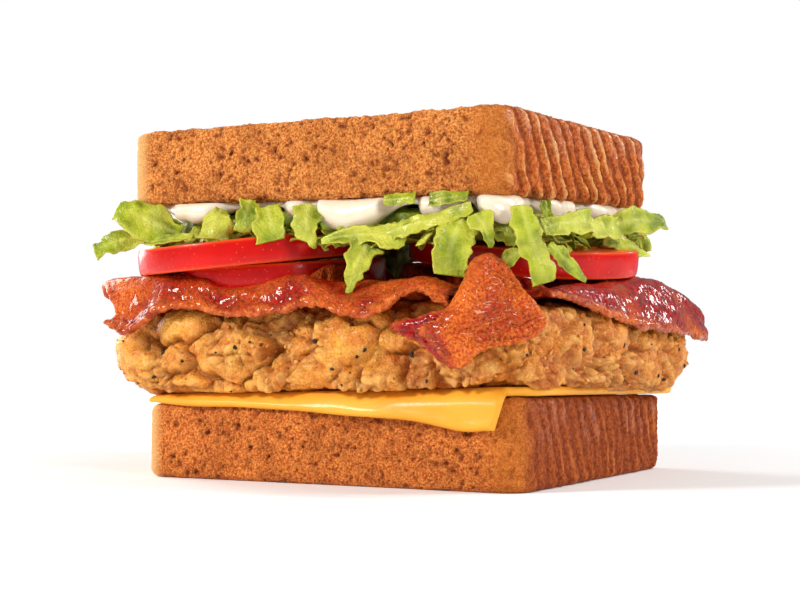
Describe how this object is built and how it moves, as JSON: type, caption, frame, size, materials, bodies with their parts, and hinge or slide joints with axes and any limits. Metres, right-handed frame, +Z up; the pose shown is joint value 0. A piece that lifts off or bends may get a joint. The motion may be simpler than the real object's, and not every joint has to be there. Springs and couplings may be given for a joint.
{
  "type": "toasted chicken club sandwich",
  "caption": "Toasted chicken club sandwich: thick bread slices around cheese, crispy chicken, bacon, tomato, shredded lettuce and mayonnaise.",
  "frame": {"origin": "centre of the bottom slice's flat underside", "axes": "+Z up through the layers, X along the slices' long side, -Y the side where the cheese hangs over"},
  "size_m": [0.1599, 0.138, 0.1067],
  "materials": {
    "toasted_bread": "dry, porous toasted crumb and crust",
    "cheese": "smooth, softly glossy sliced cheese",
    "chicken": "crisp, lumpy golden breading with black pepper",
    "bacon": "glossy cooked meat with paler streaks of fat",
    "tomato": "wet, smooth red skin and flesh",
    "lettuce": "crisp satin leaf with pale ribs",
    "mayonnaise": "smooth, glossy off-white cream"
  },
  "bodies": {
    "root": {"bread_bottom": "toasted_bread", "cheese": "cheese", "chicken": "chicken", "bacon_left": "bacon", "bacon_middle": "bacon", "bacon_right": "bacon", "tomato_left": "tomato", "tomato_lower": "tomato", "tomato_back": "tomato", "tomato_right": "tomato", "lettuce": "lettuce", "mayonnaise": "mayonnaise", "bread_top": "toasted_bread"}
  },
  "joints": []
}
